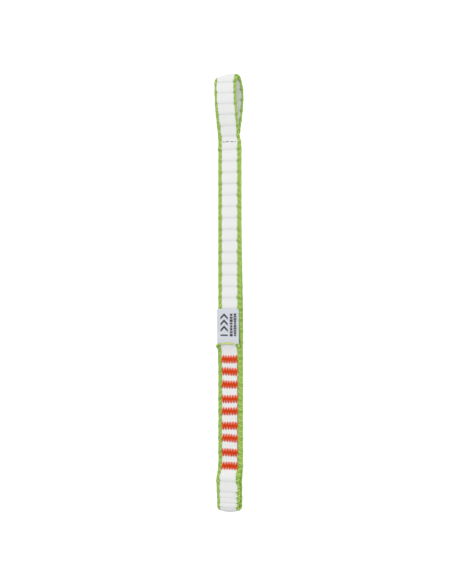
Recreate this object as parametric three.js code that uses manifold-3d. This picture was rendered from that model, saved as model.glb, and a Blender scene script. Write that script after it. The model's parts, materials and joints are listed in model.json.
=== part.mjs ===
// A sewn express sling (the webbing "dogbone" of a quickdraw). One strip of narrow flat webbing is laid
// in a loop: a large open eye at the top, a two-layer leg, a stitched block where the strip's two ends
// overlap, and a small tight eye at the bottom. Nine bar tacks sew the block, one short row of lock
// stitches closes the throat of the upper eye, and a folded satin label is trapped under the outer end.
//
// Millimetres. X runs across the webbing, Y goes from the front face to the back, and Z is up. The sling
// hangs from the inside of its upper eye, and the origin is where a carabiner's bar bears there.
//
// The strip is soft, so it is cut into stretches at the lines where it bends. Each line is a V notch on
// both sides of a hinge axis, which closes flush at the end of the bend.

import * as THREE from "three";
import { mergeVertices } from "three/addons/utils/BufferGeometryUtils.js";
import Module from "manifold-3d";

// ---- Driving dimensions -------------------------------------------------------------------------

const webbing = { width: 10, thickness: 1.2, coreWidth: 7 };
const layerGap = 0.15; // between layers that lie on each other
const selvedge = { inset: 0.35, depth: 0.45, steps: 2 }; // the rounded long edges

const upperEyeLength = 25.1; // crown to throat tack
const legLength = 84.7; // throat tack to first bar tack
const lowerEyeLength = 17.7; // last bar tack to the bottom of the lower eye
const tackCount = 9;
const tackPitches = [4.85, 4.95, 5.7, 4.75, 5.7, 4.8, 5.65, 5.2]; // sewn by eye, so uneven

const eye = {
  front: 3.1, // how far the front limb bulges from the front layer
  back: 1.7, // how far the back limb bulges from the back layer
  crownTilt: 0.18, // slope of the crown across the webbing
  bearing: 1, // length of the flat inside the crown
};
const lowerEye = {
  front: 1.6, // how far the front stands out from the tail
  back: 0.75, // how far the back comes in from the back layer
  bearing: 0.8, // length of the flat inside the bottom
};

const tailFreeLength = 5.7; // first bar tack to the outer cut end
const tailLift = 1.5; // how far the cut end stands off
const innerEndPastTack = 1.6; // last bar tack to the hidden cut end

const tack = { height: 2.3, tooth: 0.45, teeth: 6, pad: 0.4, leg: 0.5, legSpread: 5.2 };
const throatTack = { width: 5.2, height: 0.8, pad: 0.25, leg: 0.4, legSpread: 4.2 };
const stitchClearance = 0.05; // pad to webbing
const holeClearance = 0.3; // thread to the side of its hole

const label = {
  width: 9.4,
  thickness: 0.5, // of the folded flap
  rootThickness: 0.26,
  shift: -0.25, // it sits a little to the left of the webbing
  showing: 14, // fold to the tail's cut end
  aboveTail: 0.6, // its hinge line to the tail's cut end
  pastTack: 0.75, // how far its root runs past the first bar tack
  standOff: 0.2, // from the front layer, at the fold
  hingeGap: 0.35, // from the hinge line to the flap and to the root
};

const flexRange = 60; // degrees either way at each bending line
const jointGap = 0.3; // closest distance between two stretches at a hinge axis
const flexFromThroat = 8; // throat tack to the first bending line
const flexAboveLabel = 8; // label fold to the bending line above it
const flexBelowTack = 5.1; // last bar tack to the bending line of the lower eye

// ---- Levels, as distances down from the crown's outside -------------------------------------------

const half = webbing.thickness / 2;
const pitch = webbing.thickness + layerGap;

/** Distance down to bar tack i. */
function tackLevel(i) {
  let level = upperEyeLength + legLength;
  for (let k = 0; k < i; k++) level += tackPitches[k % tackPitches.length];
  return level;
}

const firstTack = tackLevel(0);
const lastTack = tackLevel(tackCount - 1);
const bottom = lastTack + lowerEyeLength;
const tailEnd = firstTack - tailFreeLength;
const labelFold = tailEnd - label.showing;
const throatFlex = upperEyeLength + flexFromThroat;
const blockFlex = labelFold - flexAboveLabel;
const legThird = (blockFlex - throatFlex) / 3;
const legFlex = throatFlex + legThird;
const legTwist = throatFlex + 2 * legThird;
const lowerEyeFlex = lastTack + flexBelowTack;
const labelHinge = tailEnd - label.aboveTail;
const labelRootEnd = firstTack + tack.height / 2 + label.pastTack;

// ---- Where each layer lies: Y of its middle at a distance down --------------------------------------

function smooth(from, to, x) {
  return THREE.MathUtils.smoothstep(x, from, to);
}

/** The front layer of the leg, which dives behind the label and the tail to end inside the block. */
function frontY(down) {
  return pitch * smooth(labelFold + 2, firstTack - 1.7, down);
}

/** The back layer, pushed back by the block's third layer. */
function backY(down) {
  return pitch * (1 + smooth(legFlex + 2, labelFold + 9, down));
}

/** The tail, the outer end of the strip: it rides over the label's root, and its free end curls off. */
function tailY(down) {
  const overRoot = 1 - smooth(labelRootEnd, tackLevel(1) - tack.height / 2, down);
  const held = firstTack - tack.height / 2;
  const curl = Math.max(0, (held - down) / (held - tailEnd)) ** 2;
  return -label.rootThickness * overRoot - (tailLift - label.rootThickness) * curl;
}

/** How much a layer's Y grows for each millimetre down. */
function slope(layer, down) {
  const step = 0.01;
  return (layer(down + step) - layer(down - step)) / (2 * step);
}

/** The label's root, which lies against the back of the tail. The gap is measured square to the tail. */
function labelRootY(down) {
  const behind = half + layerGap / 2 + label.rootThickness / 2;
  return tailY(down) + behind * Math.hypot(1, slope(tailY, down));
}

/** The label's flap, which leans from its root onto the front layer. */
function labelFlapY(down) {
  const free = -half - label.standOff - label.thickness / 2;
  return THREE.MathUtils.mapLinear(down, labelFold, labelHinge, free, labelRootY(labelHinge));
}

// ---- Solids -----------------------------------------------------------------------------------------

const lineStep = 1.25; // between the points of a layer
const curveSteps = 12; // on each curve of an eye

const wasm = await Module();
wasm.setup();

/** A closed three.js geometry as a manifold-3d solid. */
function solidOf(geometry) {
  const bare = new THREE.BufferGeometry().setAttribute("position", geometry.getAttribute("position"));
  if (geometry.index) bare.setIndex(geometry.index);
  const merged = mergeVertices(bare, 1e-4);
  const mesh = new wasm.Mesh({
    numProp: 3,
    vertProperties: merged.attributes.position.array,
    triVerts: new Uint32Array(merged.index.array),
  });
  return new wasm.Manifold(mesh);
}

/** A manifold-3d solid as a three.js geometry. */
function geometryOf(solid) {
  const mesh = solid.getMesh();
  const geometry = new THREE.BufferGeometry()
    .setAttribute("position", new THREE.BufferAttribute(mesh.vertProperties, 3))
    .setIndex(new THREE.BufferAttribute(mesh.triVerts, 1));
  geometry.computeVertexNormals();
  return geometry;
}

/** An outline of [y, down] points extruded across the webbing, from x = from to x = to. */
function across(outline, from, to, bevel = {}) {
  const shape = new THREE.Shape(outline.map(([y, down]) => new THREE.Vector2(y, -down)));
  const edge = bevel.depth ?? 0;
  const geometry = new THREE.ExtrudeGeometry(shape, {
    depth: to - from - 2 * edge,
    steps: 1,
    bevelEnabled: edge > 0,
    bevelThickness: edge,
    bevelSize: bevel.inset ?? 0,
    bevelOffset: -(bevel.inset ?? 0),
    bevelSegments: bevel.steps ?? 1,
  });
  geometry.translate(0, 0, from + edge);
  // The outline's x becomes Y, its y becomes Z, and the extrusion runs along X.
  geometry.applyMatrix4(new THREE.Matrix4().set(0, 0, 1, 0, 1, 0, 0, 0, 0, 1, 0, 0, 0, 0, 0, 1));
  return geometry;
}

/** A block from one corner to the other, given as [x, y, down]. */
function block(low, high) {
  const outline = [
    [low[1], low[2]],
    [high[1], low[2]],
    [high[1], high[2]],
    [low[1], high[2]],
  ];
  return solidOf(across(outline, low[0], high[0]));
}

/** The outline of a band of even thickness along a centreline, a list of points with their directions. */
function bandOutline(line, thickness) {
  const offset = (side) =>
    line.map(({ point, along }) => {
      const reach = (side * thickness) / 2;
      return [point.x - along.y * reach, point.y + along.x * reach];
    });
  return [...offset(1), ...offset(-1).reverse()];
}

/** A stretch of webbing along a centreline. */
function webbingAlong(line) {
  const outline = bandOutline(line, webbing.thickness);
  return across(outline, -webbing.width / 2, webbing.width / 2, selvedge);
}

/** The centreline of a layer between two levels. Its inner points are at levels that all layers share. */
function layerLine(layer, from, to) {
  const levels = [from];
  const least = 0.3; // of a step, between an end and the next level
  for (let k = Math.ceil(from / lineStep + least); k < to / lineStep - least; k++) levels.push(k * lineStep);
  return [...levels, to].map((down) => ({
    point: at(layer(down), down),
    along: at(slope(layer, down), 1).normalize(),
  }));
}

/** The centreline of several curves joined end to end, each smooth with the next. */
function joined(curves) {
  return curves.flatMap((curve, i) => {
    const divisions = curve.isLineCurve ? 1 : curveSteps;
    const shares = Array.from({ length: divisions + 1 }, (_, k) => k / divisions).slice(i ? 1 : 0);
    return shares.map((share) => ({ point: curve.getPoint(share), along: curve.getTangent(share) }));
  });
}

function at(y, down) {
  return new THREE.Vector2(y, down);
}

function bezier(...points) {
  return new THREE.CubicBezierCurve(...points);
}

// ---- Bending lines ----------------------------------------------------------------------------------

const reach = 8; // how far a cut runs past the webbing

/** The V notches of a bending line: what is removed so that both sides can turn by flexRange. */
function flexCut(y, down) {
  const open = reach * Math.tan(THREE.MathUtils.degToRad(flexRange / 2));
  const gap = jointGap / 2;
  const outline = [
    [y, down - gap],
    [y + reach, down - gap - open],
    [y + reach, down + gap + open],
    [y, down + gap],
    [y - reach, down + gap + open],
    [y - reach, down - gap - open],
  ];
  return solidOf(across(outline, -webbing.width, webbing.width));
}

/** The flat slit of the line where the leg twists. */
function twistCut(down) {
  return block([-webbing.width, -reach, down - jointGap / 2], [webbing.width, reach, down + jointGap / 2]);
}

/** The Y of a hinge axis: the middle of the two layers that bend there. */
function middleY(layerA, layerB, down) {
  return (layerA(down) + layerB(down)) / 2;
}

const throatFlexCut = flexCut(middleY(frontY, backY, throatFlex), throatFlex);
const legFlexCut = flexCut(middleY(frontY, backY, legFlex), legFlex);
const legTwistCut = twistCut(legTwist);
const blockFlexCut = flexCut(middleY(frontY, backY, blockFlex), blockFlex);

const lowerFrontY = -lowerEye.front;
const lowerBackY = 2 * pitch - lowerEye.back;
const eyeCut = flexCut((lowerFrontY + lowerBackY) / 2, lowerEyeFlex);

// ---- Stitching --------------------------------------------------------------------------------------

/** The outline of a bar tack's pad as [x, down] points: zigzag stitches leave a toothed edge. */
function toothedOutline(width, height, tooth, teeth) {
  const edge = (side) =>
    Array.from({ length: 2 * teeth + 1 }, (_, i) => {
      const x = -width / 2 + (width * i) / (2 * teeth);
      const inset = i % 2 ? 0 : tooth;
      return [x, side * (height / 2 - inset)];
    });
  return [...edge(1), ...edge(-1).reverse()];
}

/** A flat pad of thread from y = low to y = high, with an outline of [x, down] points about a level. */
function threadPad(outline, down, low, high) {
  const shape = new THREE.Shape(outline.map(([x, d]) => new THREE.Vector2(x, -(down + d))));
  const geometry = new THREE.ExtrudeGeometry(shape, { depth: high - low, bevelEnabled: false });
  // The outline lies in X and Z, and the extrusion runs along -Y from the high side.
  geometry.rotateX(Math.PI / 2).translate(0, high, 0);
  return solidOf(geometry);
}

/** A stitched tack: a pad on each face, joined by the thread that goes through the layers. */
function stitchedTack(outline, down, size, front, back) {
  const frontPad = threadPad(outline, down, front - size.pad, front);
  const backPad = threadPad(outline, down, back, back + size.pad);
  const legs = threadLegs(down, size, size.leg, front - size.pad / 2, back + size.pad / 2);
  return legs.add(frontPad).add(backPad);
}

/** The two runs of thread through the layers, or with a larger side the holes that they go through. */
function threadLegs(down, size, side, from, to) {
  const leg = (x) =>
    block([x - side / 2, from, down - side / 2], [x + side / 2, to, down + side / 2]);
  return leg(-size.legSpread / 2).add(leg(size.legSpread / 2));
}

function threadHoles(down, size) {
  return threadLegs(down, size, size.leg + 2 * holeClearance, -reach, reach);
}

/** Y of the foremost point of a layer's front face between two levels, on the flats it is built of. */
function foremost(line, from, to) {
  const face = bandOutline(line, webbing.thickness).slice(0, line.length);
  const between = face.filter(([, down]) => down > from && down < to).map(([y]) => y);
  const ends = [from, to].map((level) => {
    const next = face.findIndex(([, down]) => down >= level);
    const [[y, down], [nextY, nextDown]] = face.slice(next - 1, next + 1);
    return THREE.MathUtils.mapLinear(level, down, nextDown, y, nextY);
  });
  return Math.min(...between, ...ends);
}

function barTack(i) {
  const down = tackLevel(i);
  const outline = toothedOutline(webbing.coreWidth, tack.height, tack.tooth, tack.teeth);
  const tail = layerLine(tailIntoEye, tailEnd, lowerEyeFlex);
  const front = foremost(tail, down - tack.height / 2, down + tack.height / 2) - stitchClearance;
  return stitchedTack(outline, down, tack, front, backY(down) + half + stitchClearance);
}

function throatStitches() {
  const outline = toothedOutline(throatTack.width, throatTack.height, 0, 1);
  const front = frontY(upperEyeLength) - half - stitchClearance;
  const back = backY(upperEyeLength) + half + stitchClearance;
  return stitchedTack(outline, upperEyeLength, throatTack, front, back);
}

/** Cuts the needle holes of all the bar tacks out of a layer. */
function pierced(solid) {
  return Array.from({ length: tackCount }, (_, i) => threadHoles(tackLevel(i), tack)).reduce(
    (rest, holes) => rest.subtract(holes),
    solid,
  );
}

// ---- The strip of webbing ---------------------------------------------------------------------------

const crownDown = half; // the middle of the webbing at the crown
const crownY = -eye.front / 2; // the middle of the flat that bears on a carabiner

/** The upper eye's centreline: up the front limb, over the crown, which leans forward, and down. */
function upperEyeLine() {
  const low = upperEyeLength;
  const wide = 0.25 * upperEyeLength; // where the front limb stands out furthest
  const wideBack = 0.34 * upperEyeLength;
  const farBack = pitch + eye.back;
  const flatFront = crownY - eye.bearing / 2;
  const flatBack = crownY + eye.bearing / 2;
  const frontWide = at(-eye.front, wide);
  const crownFront = at(flatFront, crownDown);
  const crownBack = at(flatBack, crownDown);
  const backWide = at(farBack, wideBack);
  return joined([
    new THREE.LineCurve(at(0, throatFlex), at(0, low)),
    bezier(at(0, low), at(0, 0.83 * low), at(-eye.front, 0.57 * low), frontWide),
    bezier(frontWide, at(-eye.front, 0.4 * wide), at(0.97 * -eye.front, crownDown), crownFront),
    new THREE.LineCurve(crownFront, crownBack),
    bezier(crownBack, at(flatBack + 1.3, crownDown), at(farBack, 0.55 * wideBack), backWide),
    bezier(backWide, at(farBack, 0.55 * low), at(0.85 * pitch, 0.79 * low), at(pitch, low)),
    new THREE.LineCurve(at(pitch, low), at(pitch, throatFlex)),
  ]);
}

/** Slopes the crown: one selvedge of the eye stands higher than the other. */
function tiltCrown(geometry) {
  const position = geometry.getAttribute("position");
  for (let i = 0; i < position.count; i++) {
    const share = 1 - smooth(0.3 * upperEyeLength, 0.85 * upperEyeLength, -position.getZ(i));
    position.setZ(i, position.getZ(i) + eye.crownTilt * position.getX(i) * share);
  }
  return geometry;
}

function upperEyeWebbing() {
  return solidOf(tiltCrown(webbingAlong(upperEyeLine())))
    .subtract(throatFlexCut)
    .subtract(threadHoles(upperEyeLength, throatTack));
}

/** The lower eye's centreline: down the back layer, round the bottom and up the front into the tail. */
function lowerEyeLine() {
  const radius = (lowerBackY - lowerFrontY - lowerEye.bearing) / 2; // of the fold, either side of its flat
  const foldDown = bottom - half - radius;
  const quarter = Math.PI / 2;
  const flatBack = lowerBackY - radius;
  const flatFront = lowerFrontY + radius;
  return joined([
    new THREE.LineCurve(at(lowerBackY, lowerEyeFlex), at(lowerBackY, foldDown)),
    new THREE.EllipseCurve(flatBack, foldDown, radius, radius, 0, quarter),
    new THREE.LineCurve(at(flatBack, foldDown + radius), at(flatFront, foldDown + radius)),
    new THREE.EllipseCurve(flatFront, foldDown, radius, radius, quarter, 2 * quarter),
    new THREE.LineCurve(at(lowerFrontY, foldDown), at(lowerFrontY, lowerEyeFlex)),
  ]);
}

/** A layer of the block that eases over to a line of the lower eye from a level on. */
function easing(layer, lowerY, from) {
  return (down) => THREE.MathUtils.lerp(layer(down), lowerY, smooth(from, lowerEyeFlex, down));
}

const innerEnd = lastTack + innerEndPastTack;
const backIntoEye = easing(backY, lowerBackY, innerEnd - 1);
const tailIntoEye = easing(tailY, lowerFrontY, lastTack);

function legStretch(layer, from, to, cuts) {
  return cuts.reduce((rest, cut) => rest.subtract(cut), solidOf(webbingAlong(layerLine(layer, from, to))));
}

// ---- The label --------------------------------------------------------------------------------------

function labelBand(line, thickness) {
  const outline = bandOutline(line, thickness);
  return solidOf(across(outline, label.shift - label.width / 2, label.shift + label.width / 2));
}

function labelFlap() {
  return labelBand(layerLine(labelFlapY, labelFold, labelHinge - label.hingeGap), label.thickness);
}

function labelRoot() {
  const line = layerLine(labelRootY, labelHinge + label.hingeGap, labelRootEnd);
  return labelBand(line, label.rootThickness).subtract(threadHoles(firstTack, tack));
}

// ---- Assembly ---------------------------------------------------------------------------------------

const whiteWebbing = new THREE.MeshStandardMaterial({ color: "#e9eae8", roughness: 0.85, metalness: 0 });
const orangeThread = new THREE.MeshStandardMaterial({ color: "#e54e1f", roughness: 0.7, metalness: 0 });
const darkThread = new THREE.MeshStandardMaterial({ color: "#3c3f45", roughness: 0.7, metalness: 0 });
const greySatin = new THREE.MeshStandardMaterial({ color: "#cccfd6", roughness: 0.5, metalness: 0 });

const sling = new THREE.Group();
sling.position.set(0, -crownY, webbing.thickness); // puts the origin on the bearing flat

function addNode(name, solid, material) {
  const mesh = new THREE.Mesh(geometryOf(solid), material);
  mesh.name = name;
  sling.add(mesh);
}

addNode("webbing_upper_eye", upperEyeWebbing(), whiteWebbing);
addNode("throat_tack", throatStitches(), darkThread);

const legStretches = [
  { name: "leg_upper", from: throatFlex, to: legFlex, cuts: [throatFlexCut, legFlexCut] },
  { name: "leg_middle", from: legFlex, to: legTwist, cuts: [legFlexCut, legTwistCut] },
  { name: "leg_lower", from: legTwist, to: blockFlex, cuts: [legTwistCut, blockFlexCut] },
];
legStretches.forEach(({ name, from, to, cuts }) => {
  addNode("webbing_" + name + "_front", legStretch(frontY, from, to, cuts), whiteWebbing);
  addNode("webbing_" + name + "_back", legStretch(backY, from, to, cuts), whiteWebbing);
});

const blockLayers = [
  { name: "inner", layer: frontY, from: blockFlex, to: innerEnd, cuts: [blockFlexCut] },
  { name: "back", layer: backIntoEye, from: blockFlex, to: lowerEyeFlex, cuts: [blockFlexCut, eyeCut] },
  { name: "tail", layer: tailIntoEye, from: tailEnd, to: lowerEyeFlex, cuts: [eyeCut] },
];
blockLayers.forEach(({ name, layer, from, to, cuts }) => {
  addNode("webbing_block_" + name, pierced(legStretch(layer, from, to, cuts)), whiteWebbing);
});
for (let i = 0; i < tackCount; i++) addNode("bar_tack_" + (i + 1), barTack(i), orangeThread);

addNode("label_root", labelRoot(), greySatin);
addNode("label_flap", labelFlap(), greySatin);

addNode("webbing_lower_eye", solidOf(webbingAlong(lowerEyeLine())).subtract(eyeCut), whiteWebbing);

export default sling;
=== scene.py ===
"""The looks of a sewn express sling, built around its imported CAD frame.

One strip of narrow webbing is laid in a loop and sewn down. The strip has a puffy white core
between plaited green selvedges. Nine zigzag bar tacks hold the block, a row of dark lock stitches
closes the throat of the upper eye, and a satin label is folded and trapped under the strip's outer
end.

Lengths are in metres and written as millimetres times MM. X runs across the webbing, Y goes from
the front face to the back, and Z is up.
"""

from __future__ import annotations

import json
import logging
import math
from dataclasses import dataclass
from enum import Enum
from typing import Callable

import bmesh
import bpy
import numpy as np
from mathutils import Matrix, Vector
from mathutils.geometry import interpolate_bezier


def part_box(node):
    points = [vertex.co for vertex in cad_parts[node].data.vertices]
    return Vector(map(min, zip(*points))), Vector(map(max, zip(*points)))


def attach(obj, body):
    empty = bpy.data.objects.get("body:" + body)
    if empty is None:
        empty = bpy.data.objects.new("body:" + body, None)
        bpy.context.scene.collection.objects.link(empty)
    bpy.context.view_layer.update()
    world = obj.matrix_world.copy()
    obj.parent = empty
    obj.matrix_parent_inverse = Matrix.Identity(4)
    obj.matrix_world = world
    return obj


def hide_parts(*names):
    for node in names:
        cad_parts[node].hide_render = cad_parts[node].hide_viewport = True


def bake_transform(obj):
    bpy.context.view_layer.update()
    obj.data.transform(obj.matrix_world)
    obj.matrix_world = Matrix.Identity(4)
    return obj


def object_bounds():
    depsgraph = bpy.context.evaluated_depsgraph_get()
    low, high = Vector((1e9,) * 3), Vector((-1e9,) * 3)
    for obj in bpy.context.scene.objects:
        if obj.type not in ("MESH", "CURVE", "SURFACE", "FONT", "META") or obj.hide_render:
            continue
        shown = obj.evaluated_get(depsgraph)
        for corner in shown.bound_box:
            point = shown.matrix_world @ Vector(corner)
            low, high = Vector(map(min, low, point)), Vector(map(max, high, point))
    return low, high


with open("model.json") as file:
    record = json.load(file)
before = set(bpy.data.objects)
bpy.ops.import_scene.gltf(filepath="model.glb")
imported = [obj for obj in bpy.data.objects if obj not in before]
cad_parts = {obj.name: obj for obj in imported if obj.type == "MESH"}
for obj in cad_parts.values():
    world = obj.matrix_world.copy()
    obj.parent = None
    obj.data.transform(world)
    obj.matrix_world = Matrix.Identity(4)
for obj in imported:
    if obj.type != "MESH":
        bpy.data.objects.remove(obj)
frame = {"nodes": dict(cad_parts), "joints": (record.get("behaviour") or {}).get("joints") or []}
cad_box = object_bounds()

MM = 0.001
log = logging.getLogger("sling")

Array = np.ndarray


# ---- Numbers and curves -------------------------------------------------------------------------


def ease(start: float, end: float, value: Array | float) -> Array | float:
    """Rises smoothly from 0 to 1 as value goes from start to end, in either direction.

    Args:
        start: The value at which the result is 0.
        end: The value at which the result is 1.
        value: One number or an array.

    Returns:
        The eased share, with the same shape as value.
    """
    share = np.clip((value - start) / (end - start), 0.0, 1.0)
    return share * share * (3.0 - 2.0 * share)


def bump(centre: float, reach: float, value: Array) -> Array:
    """A smooth bump of height 1 at centre that has died out at reach on both sides."""
    return 1.0 - ease(0.0, reach, np.abs(value - centre))


def smooth_noise(position: Array, seed: int) -> Array:
    """A slow wander between about -1 and 1, the same on each run.

    Args:
        position: Where to read it, in its own periods.
        seed: Picks one of many wanders.

    Returns:
        The wander at each position.
    """
    phases = np.random.default_rng(seed).uniform(0.0, 2.0 * math.pi, 3)
    waves = (1.0, 1.73, 2.91)
    return sum(np.sin(2.0 * math.pi * position * w + p) / w for w, p in zip(waves, phases)) / 1.6


class Centreline:
    """A line in space, sampled finely enough to be read at any length along it."""

    def __init__(self, points: Array) -> None:
        """Measures the line.

        Args:
            points: One row for each point, from the start to the end.
        """
        steps = np.linalg.norm(np.diff(points, axis=0), axis=1)
        kept = np.concatenate([[True], steps > 1e-9])
        self.points = points[kept]
        self.along = np.concatenate([[0.0], np.cumsum(steps[steps > 1e-9])])

    @property
    def length(self) -> float:
        """The line's whole length."""
        return float(self.along[-1])

    def at(self, along: Array) -> Array:
        """The points at these lengths along the line, going straight on past its ends.

        Args:
            along: Lengths from the line's start.

        Returns:
            One row for each point.
        """
        inside = np.clip(along, 0.0, self.length)
        columns = [np.interp(inside, self.along, column) for column in self.points.T]
        over = (along - inside)[:, None]
        ends = self.points[[0, -1]] - self.points[[1, -2]]
        ends /= np.linalg.norm(ends, axis=-1, keepdims=True)
        return np.stack(columns, axis=-1) + np.where(over < 0, -ends[0], ends[1]) * over

    def direction(self, along: Array, window: float = 0.12 * MM) -> Array:
        """The line's unit direction at these lengths.

        Args:
            along: Lengths from the line's start.
            window: How far to look ahead and behind, which evens out the line's corners.

        Returns:
            One row for each direction.
        """
        ahead = self.at(np.minimum(along + window, self.length))
        behind = self.at(np.maximum(along - window, 0.0))
        step = ahead - behind
        return step / np.linalg.norm(step, axis=-1, keepdims=True)

    def crossings(self, height: float) -> list[float]:
        """Finds where the line passes a height.

        Args:
            height: A value of the line's last coordinate.

        Returns:
            The lengths along the line, from its start on.
        """
        level = self.points[:, -1] - height
        places = np.nonzero((level[:-1] > 0) != (level[1:] > 0))[0]
        shares = level[places] / (level[places] - level[places + 1])
        return [float(s) for s in self.along[places] + shares * np.diff(self.along)[places]]


def bezier(*corners: tuple[float, float], count: int = 60) -> list[tuple[float, float]]:
    """The points of a cubic Bezier curve in the YZ plane, given its four control points."""
    found = interpolate_bezier(*(Vector((y, z, 0.0)) for y, z in corners), count)
    return [(point.x, point.y) for point in found]


def spline(knots: Array, per_span: int) -> Array:
    """A smooth curve through a list of knots (Catmull-Rom).

    Args:
        knots: One row for each knot.
        per_span: How many points to put on each span.

    Returns:
        The points of the curve.
    """
    padded = np.vstack([2 * knots[0] - knots[1], knots, 2 * knots[-1] - knots[-2]])
    share = np.linspace(0.0, 1.0, per_span, endpoint=False)[:, None]
    spans = []
    for a, b, c, d in zip(padded, padded[1:], padded[2:], padded[3:]):
        slope = c - a
        square = 2 * a - 5 * b + 4 * c - d
        cube = 3 * b - a - 3 * c + d
        spans.append(b + 0.5 * share * (slope + share * (square + share * cube)))
    return np.vstack([*spans, knots[-1:]])


# ---- How the strip lies -------------------------------------------------------------------------


def middle(node: str) -> Vector:
    """The middle of a CAD node's box."""
    low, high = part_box(node)
    return (low + high) / 2


@dataclass(frozen=True)
class Lie:
    """Where the folded strip lies. Heights are Z, and a layer's place is the Y of its middle."""

    front: float
    pitch: float
    throat: float
    label_fold: float
    tacks: tuple[float, ...]
    bottom: float
    hinges: dict[str, Vector]
    crown: float = 1.2 * MM  # the webbing's thickness above the origin
    tail_free: float = 5.7 * MM  # first bar tack to the outer cut end
    tail_lift: float = 1.5 * MM  # how far the cut end curls off
    label_root: float = 0.26 * MM  # thickness of the label where it is sewn in
    root_past_tack: float = 1.9 * MM
    tack_height: float = 2.3 * MM
    inner_past_tack: float = 1.6 * MM
    eye_front: float = 1.6 * MM  # how far the lower eye's front stands out
    eye_back: float = 0.75 * MM  # how far its back comes in

    @classmethod
    def from_frame(cls) -> Lie:
        """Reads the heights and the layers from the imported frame.

        Returns:
            Where the strip lies.
        """
        front = middle("webbing_leg_upper_front").y
        tacks = [name for name in frame["nodes"] if name.startswith("bar_tack_")]
        return cls(
            front=front,
            pitch=middle("webbing_leg_upper_back").y - front,
            throat=middle("throat_tack").z,
            label_fold=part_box("label_flap")[1].z,
            tacks=tuple(sorted((middle(name).z for name in tacks), reverse=True)),
            bottom=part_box("webbing_lower_eye")[0].z,
            hinges={joint["name"]: Vector(joint["pos_m"]) for joint in frame["joints"]},
        )

    @property
    def tail_end(self) -> float:
        """The height of the outer cut end."""
        return self.tacks[0] + self.tail_free

    @property
    def inner_end(self) -> float:
        """The height of the hidden cut end."""
        return self.tacks[-1] - self.inner_past_tack

    def front_y(self, z: Array) -> Array:
        """The front layer, which dives behind the label and the tail."""
        dive = ease(self.label_fold - 2 * MM, self.tacks[0] + 1.7 * MM, z)
        return self.front + self.pitch * dive

    def back_y(self, z: Array) -> Array:
        """The back layer, pushed back by the block's third layer and drawn in at the lower eye.

        Args:
            z: Heights.

        Returns:
            Y of the layer's middle at each height.
        """
        pushed = ease(self.hinges["leg_flex"].z - 2 * MM, self.label_fold - 9 * MM, z)
        drawn = ease(self.tacks[-1] - 0.6 * MM, self.hinges["lower_eye_flex"].z, z)
        return self.front + self.pitch * (1 + pushed) - self.eye_back * drawn

    def tail_y(self, z: Array) -> Array:
        """The tail: its free end curls off, and it swings out to the front of the lower eye.

        Args:
            z: Heights.

        Returns:
            Y of the layer's middle at each height.
        """
        root_end = self.tacks[0] - self.root_past_tack
        over_root = 1 - ease(root_end, self.tacks[1] + self.tack_height / 2, z)
        held = self.tacks[0] + self.tack_height / 2
        curl = np.maximum(0.0, (z - held) / (self.tail_end - held)) ** 2
        drawn = ease(self.tacks[-1], self.hinges["lower_eye_flex"].z, z)
        lifted = self.label_root * over_root + (self.tail_lift - self.label_root) * curl
        return self.front - lifted - self.eye_front * drawn

    def line(self, layer: Callable[[Array], Array], top: float, low: float) -> Centreline:
        """The centreline of a layer, from a height down to another."""
        heights = np.linspace(top, low, 2 + round((top - low) / (0.1 * MM)))
        return Centreline(np.stack([layer(heights), heights], axis=-1))

    def upper_eye_line(self, seam: float) -> Centreline:
        """The upper eye: up the front limb, over the crown, which leans forward, and down the back.

        Args:
            seam: The height at which it starts and ends.

        Returns:
            Its centreline.
        """
        size = self.crown - self.throat
        front_bulge, back_bulge, flat = 3.1 * MM, 1.7 * MM, 0.5 * MM
        near, far = self.front - front_bulge, self.front + self.pitch + back_bulge
        top = self.crown - 0.6 * MM
        lean = self.front - front_bulge / 2
        low, back = self.throat, self.front + self.pitch
        wide, wide_back = self.crown - 0.25 * size, self.crown - 0.34 * size
        points = [(self.front, seam)]
        points += bezier(
            (self.front, low),
            (self.front, low + 0.17 * size),
            (near, low + 0.43 * size),
            (near, wide),
        )
        points += bezier(
            (near, wide),
            (near, self.crown - 0.1 * size),
            (self.front - 0.97 * front_bulge, top),
            (lean - flat, top),
        )
        points += bezier(
            (lean + flat, top),
            (lean + flat + 1.3 * MM, top),
            (far, self.crown - 0.187 * size),
            (far, wide_back),
        )
        points += bezier(
            (far, wide_back),
            (far, low + 0.45 * size),
            (self.front + 0.85 * self.pitch, low + 0.21 * size),
            (back, low),
        )
        points.append((back, seam))
        return Centreline(np.array(points))

    def lower_eye_line(self, seam: float) -> Centreline:
        """The lower eye: down the back, round the bottom and up the front.

        Args:
            seam: The height at which it starts and ends.

        Returns:
            Its centreline.
        """
        hinge = self.hinges["lower_eye_flex"].z
        near, far = float(self.tail_y(hinge)), float(self.back_y(hinge))
        flat = 0.4 * MM
        radius = (far - near) / 2 - flat
        centre = self.bottom + 0.6 * MM + radius
        quarter = np.linspace(0.0, math.pi / 2, 30)
        down = np.linspace(seam, centre, 120)
        sine, cosine = radius * np.sin(quarter), radius * np.cos(quarter)
        points = [
            np.stack([self.back_y(down), down], axis=-1),
            np.stack([far - radius + cosine, centre - sine], axis=-1),
            np.stack([near + radius - sine, centre - cosine], axis=-1),
            np.stack([self.tail_y(down), down], axis=-1)[::-1],
        ]
        return Centreline(np.vstack(points))


# ---- Finishes -----------------------------------------------------------------------------------


def linear(colour: str) -> tuple[float, float, float, float]:
    """Turns an sRGB hex colour into linear light.

    Args:
        colour: Such as "#F3F4F2".

    Returns:
        Red, green and blue, and an alpha of 1.
    """
    channels = (int(colour[i : i + 2], 16) / 255 for i in (1, 3, 5))
    lit = [c / 12.92 if c <= 0.04045 else ((c + 0.055) / 1.055) ** 2.4 for c in channels]
    return (*lit, 1.0)


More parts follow.
